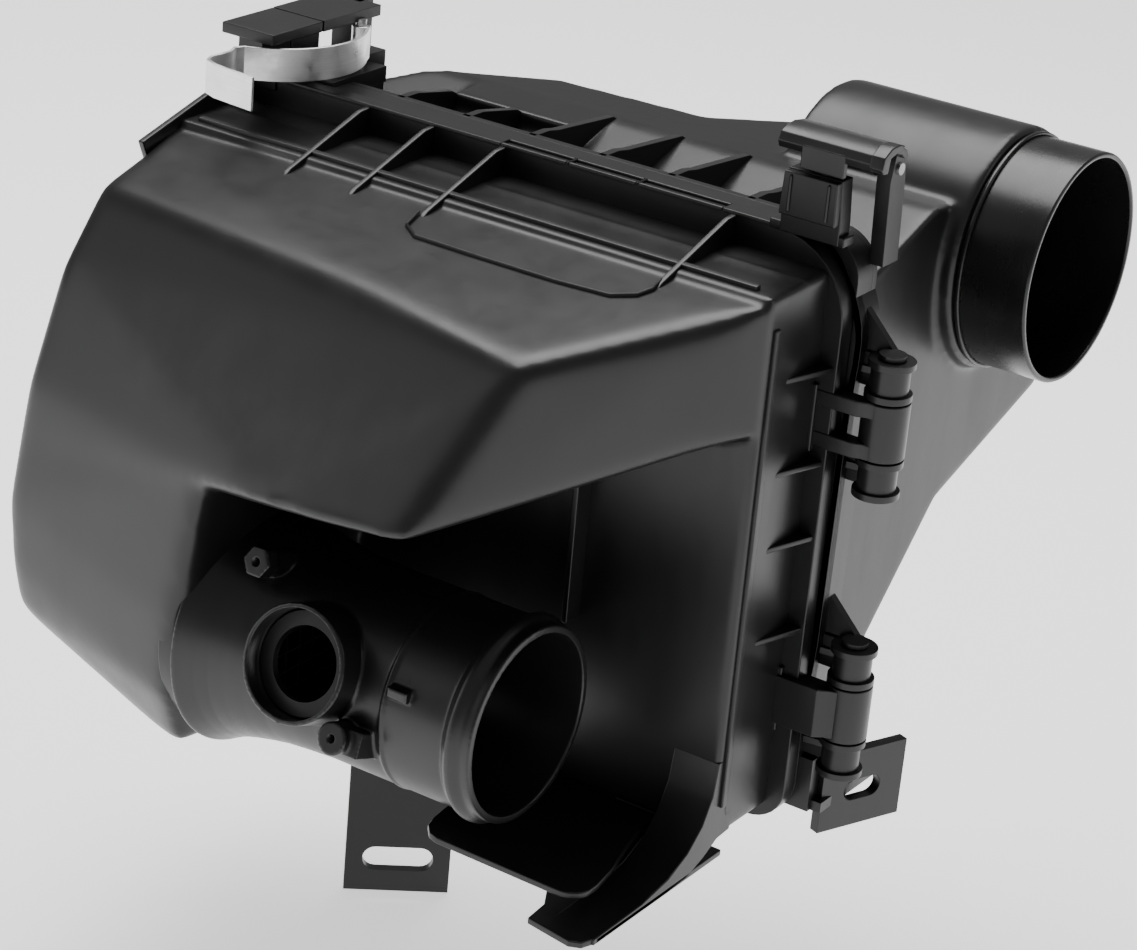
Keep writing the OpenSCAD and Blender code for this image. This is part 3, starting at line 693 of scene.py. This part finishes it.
# ---------------------------------------------------------------- build
finish_piece(make_cap_bulge(), "cap", ["cap_shell"])
finish_piece(make_cap_details(), "cap", ())
finish_piece(make_outlet_tube(), "cap", ["outlet_tube"])
finish_piece(make_case_body(), "case", ["case_shell"])
finish_piece(make_case_details(), "case", ())
finish_piece(make_inlet_duct(), "case", ["inlet_duct"])
finish_piece(make_clip("upper_clip_band", CLIP_PIVOT, CLIP_Z[0], 1), "upper_clip", ["upper_spring_clip"])
finish_piece(make_clip("lower_clip_band", (LOW_PIVOT_X, CLIP_PIVOT[1]), CLIP_Z[1], -1), "lower_clip",
             ["lower_spring_clip"])
finish_piece(make_latch(), "top_latch", ["top_latch"])
for node, material in (("flow_straightener", TUBE), ("sensor_port_liner", TUBE), ("filter_seal", RUBBER),
                       ("filter_frame", TUBE), ("filter_media", PAPER), ("filter_screen", PIN),
                       ("upper_hinge_pin", LATCH), ("lower_hinge_pin", LATCH), ("upper_clip_pin", PIN),
                       ("lower_clip_pin", PIN), ("latch_pin", PIN)):
    mesh = frame["nodes"][node].data
    for i in range(len(mesh.materials)):
        mesh.materials[i] = material

# ---------------------------------------------------------------- studio
FLOOR_SIZE, FLOOR_GLOW = 6, 0.95
floor_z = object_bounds()[0].z - 0.0005


def backdrop():
    bm = bmesh.new()
    bmesh.ops.create_grid(bm, x_segments=2, y_segments=2, size=FLOOR_SIZE)
    mesh = bpy.data.meshes.new("floor")
    bm.to_mesh(mesh)
    bm.free()
    obj = bpy.data.objects.new("floor", mesh)
    obj.location = (0, 0, floor_z)
    bpy.context.scene.collection.objects.link(obj)
    mat, _, bsdf = node_tree("floor_paint")
    bsdf.inputs["Base Color"].default_value = (0.92, 0.92, 0.92, 1)
    bsdf.inputs["Roughness"].default_value = 0.9
    bsdf.inputs["Emission Color"].default_value = (1, 1, 1, 1)
    bsdf.inputs["Emission Strength"].default_value = FLOOR_GLOW
    mesh.materials.append(mat)


def area_light(name, place, target, size, power):
    data = bpy.data.lights.new(name, "AREA")
    data.shape = "RECTANGLE"
    data.size, data.size_y = size
    data.energy = power
    obj = bpy.data.objects.new(name, data)
    obj.location = place
    obj.rotation_mode = "QUATERNION"
    obj.rotation_quaternion = (Vector(target) - Vector(place)).to_track_quat("-Z", "Y")
    bpy.context.scene.collection.objects.link(obj)


backdrop()
# Name, place from the part's middle in metres, size in metres, power in watts
LIGHTS = (("top_softbox", (-0.35, 0.36, 1.45), (1.4, 1.1), 36),
          ("front_left", (-1.6, -1.3, 0.55), (0.9, 1.3), 6.5),
          ("right_strip", (1.6, 0.7, 0.6), (0.35, 1.3), 2.6))
centre = P(-10, 0, 10)
for light, offset, size, power in LIGHTS:
    area_light(light, centre + Vector(offset), centre, size, power)
world = bpy.data.worlds.new("studio")
bpy.context.scene.world = world
world.use_nodes = True
world.node_tree.nodes["Background"].inputs["Color"].default_value = (1, 1, 1, 1)
world.node_tree.nodes["Background"].inputs["Strength"].default_value = 0.27

# ---------------------------------------------------------------- camera
AZIMUTH, ELEVATION, ROLL = (math.radians(a) for a in (32.12, 23.32, 5.24))
DISTANCE, LENS = 1.155, 104.6
cam_data = bpy.data.cameras.new("camera")
cam_data.lens, cam_data.sensor_width = LENS, 36.0
camera = bpy.data.objects.new("camera", cam_data)
bpy.context.scene.collection.objects.link(camera)
back = Vector((math.sin(AZIMUTH) * math.cos(ELEVATION), -math.cos(AZIMUTH) * math.cos(ELEVATION),
               math.sin(ELEVATION)))
right = Vector((math.cos(AZIMUTH), math.sin(AZIMUTH), 0))
up = back.cross(right)
rolled_right = right * math.cos(ROLL) + up * math.sin(ROLL)
rolled_up = up * math.cos(ROLL) - right * math.sin(ROLL)
camera.matrix_world = Matrix.LocRotScale(
    P(0, 0, 0) + back * DISTANCE, Matrix((rolled_right, rolled_up, back)).transposed(), None)
bpy.context.scene.camera = camera
